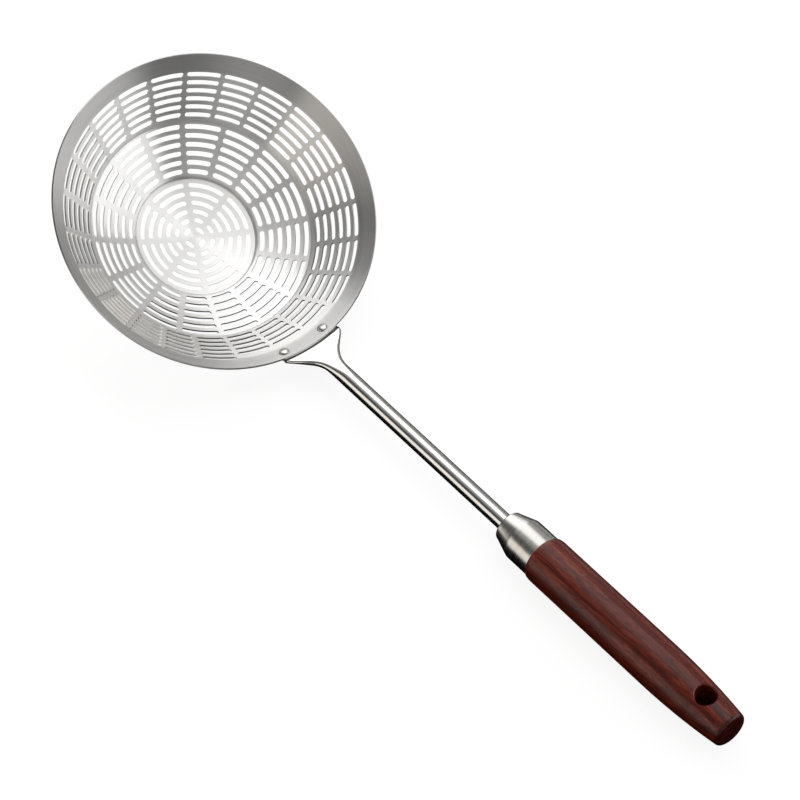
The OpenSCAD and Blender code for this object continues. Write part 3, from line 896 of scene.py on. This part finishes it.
# %% Lay the three over each other, and darken the butt
SOAKED_FROM, SOAKED_TO = 3.0 * MM, 0.3 * MM  # distances from the butt's face
stick = add_node(rosewood, "ShaderNodeSeparateXYZ", {"Vector": place.outputs["Object"]})
butt_x = on_handle(BUTT_AT, 0, 0).x
end_grain = add_node(rosewood, "ShaderNodeMapRange", {
    "Value": stick.outputs["X"], "From Min": butt_x - SOAKED_FROM, "From Max": butt_x - SOAKED_TO,
    "To Min": 1.0, "To Max": 0.38})
colour = layers.outputs["Color"]
for darker, share in ((streaks.outputs["Color"], 0.65), (pores.outputs["Color"], 0.8),
                      (end_grain.outputs["Result"], 1.0)):
    colour = add_node(rosewood, "ShaderNodeMix", {"Factor": share, "A": colour, "B": darker},
                      data_type="RGBA", blend_type="MULTIPLY").outputs["Result"]
rough = add_node(rosewood, "ShaderNodeMapRange", {
    "Value": pores.outputs["Color"], "From Min": 0.3, "From Max": 1.0,
    "To Min": 0.5, "To Max": 0.32})
dents = add_node(rosewood, "ShaderNodeBump", {
    "Height": pores.outputs["Color"], "Strength": 0.25, "Distance": 0.1 * MM})
plug_in(rosewood, shader, {"Base Color": colour, "Roughness": rough.outputs["Result"],
                           "Normal": dents.outputs["Normal"]})
grip.data.materials.append(rosewood)

# %% [markdown]
# ## A white floor
# The ladle lies on white paper. The floor's own light is added only for what the camera and shiny
# metal see, so it reads as white and still keeps the ladle's shadow.

# %% A white floor
PAPER_GLOW = 0.9
bpy.ops.object.select_all(action="DESELECT")
bpy.ops.mesh.primitive_plane_add(size=8)
floor = bpy.context.object
floor.name = "floor"
paper, shader = new_material("white_paper", Base_Color=hex_colour("#666666"), Roughness=0.9,
                             Emission_Color=hex_colour("#ffffff"))
rays = add_node(paper, "ShaderNodeLightPath")
seen = rays.outputs["Is Camera Ray"]
for ray in ("Is Glossy Ray", "Is Transmission Ray"):
    seen = add_node(paper, "ShaderNodeMath", {0: seen, 1: rays.outputs[ray]},
                    operation="MAXIMUM").outputs[0]
glow = add_node(paper, "ShaderNodeMath", {0: seen, 1: PAPER_GLOW}, operation="MULTIPLY")
plug_in(paper, shader, {"Emission Strength": glow.outputs[0]})
floor.data.materials.append(paper)

# %% [markdown]
# ## A black card under the handle
# A bright tube on white paper mirrors white from every side and loses its shape. A photographer
# lays a black card just out of sight, which gives the metal its dark edges. This one lies under
# the handle: the metal mirrors it, and the camera doesn't see it. It throws no shadow either.

# %% Lay the card
CARD_AT, CARD_SIZE = (0.08, 0.01, 0.0002), (0.48, 0.22, 1)
bpy.ops.object.select_all(action="DESELECT")
bpy.ops.mesh.primitive_plane_add(size=1, location=CARD_AT)
card = bpy.context.object
card.name = "black_card"
card.scale = CARD_SIZE
bpy.ops.object.transform_apply(location=True, scale=True)
card.visible_camera = card.visible_shadow = card.visible_diffuse = False
card_black, _ = new_material("black_card", Base_Color=hex_colour("#101010"), Roughness=1.0,
                             Specular_IOR_Level=0.0)
card.data.materials.append(card_black)
print("card", [round(side / MM) for side in CARD_SIZE[:2]], "mm")

# %% [markdown]
# ## Lamps and world
# Softboxes are large lamps with even faces, and steel shows them as bright bands, so there are
# more of them than the wood would need. One hangs over the bowl and lights its floor and walls,
# one stands behind the grip and runs as a bright line down tube, ferrule and wood, one stands
# in front, and the others fill. Each is given by the light of its face, so that its size can change
# alone. All shine at a plain level, at which a colour renders about as it is written.

# %% Lamps and world
LIT_FROM = Vector((-0.05, 0, 0.03))  # directions and distances start here


def softbox(name, direction, wide, distance, size, radiance, colour="#ffffff"):
    """A rectangular lamp in a direction from the ladle; wide is the way its long side runs."""
    data = bpy.data.lights.new(name, "AREA")
    data.shape = "RECTANGLE"
    data.size, data.size_y = size
    data.energy = radiance * math.pi * size[0] * size[1]
    data.color = hex_colour(colour)[:3]
    lamp = bpy.data.objects.new(name, data)
    bpy.context.collection.objects.link(lamp)
    towards = Vector(direction).normalized()
    side = Vector(wide) - towards * Vector(wide).dot(towards)
    side.normalize()
    lamp.matrix_world = Matrix.Translation(LIT_FROM + towards * distance) @ Matrix(
        (side, towards.cross(side), towards)).transposed().to_4x4()
    print("lamp", name, round(data.energy, 1), "W")


softbox("overhead", (-0.3, 0.36, 0.9), (1, 0, 0), 1.5, (2.3, 1.3), 1.45)
softbox("overhead_wide", (-0.1, 0.1, 1.0), (1, 0, 0), 1.6, (3.0, 2.0), 0.3)
softbox("left", (-0.85, 0.42, 0.36), (0.42, 0.85, 0), 1.5, (1.2, 1.1), 1.5)
softbox("back_right", (0.68, 0.70, 0.25), (0.7, -0.7, 0), 1.5, (1.6, 0.6), 2.6)
softbox("back", (-0.25, 0.9, 0.42), (0.9, 0.25, 0), 1.5, (1.6, 0.7), 0.4)
softbox("front", (-0.2, -0.95, 0.22), (0.95, -0.2, 0), 1.5, (2.0, 0.75), 1.35, "#fff7ee")
softbox("fill", (0.65, -0.25, 0.65), (0.25, 0.65, 0), 2.0, (1.8, 1.6), 0.3)
world = bpy.data.worlds.new("studio")
bpy.context.scene.world = world
world.use_nodes = True
world.node_tree.nodes["Background"].inputs["Color"].default_value = hex_colour("#ffffff")
world.node_tree.nodes["Background"].inputs["Strength"].default_value = 0.1
bpy.context.scene.view_settings.view_transform = "Standard"
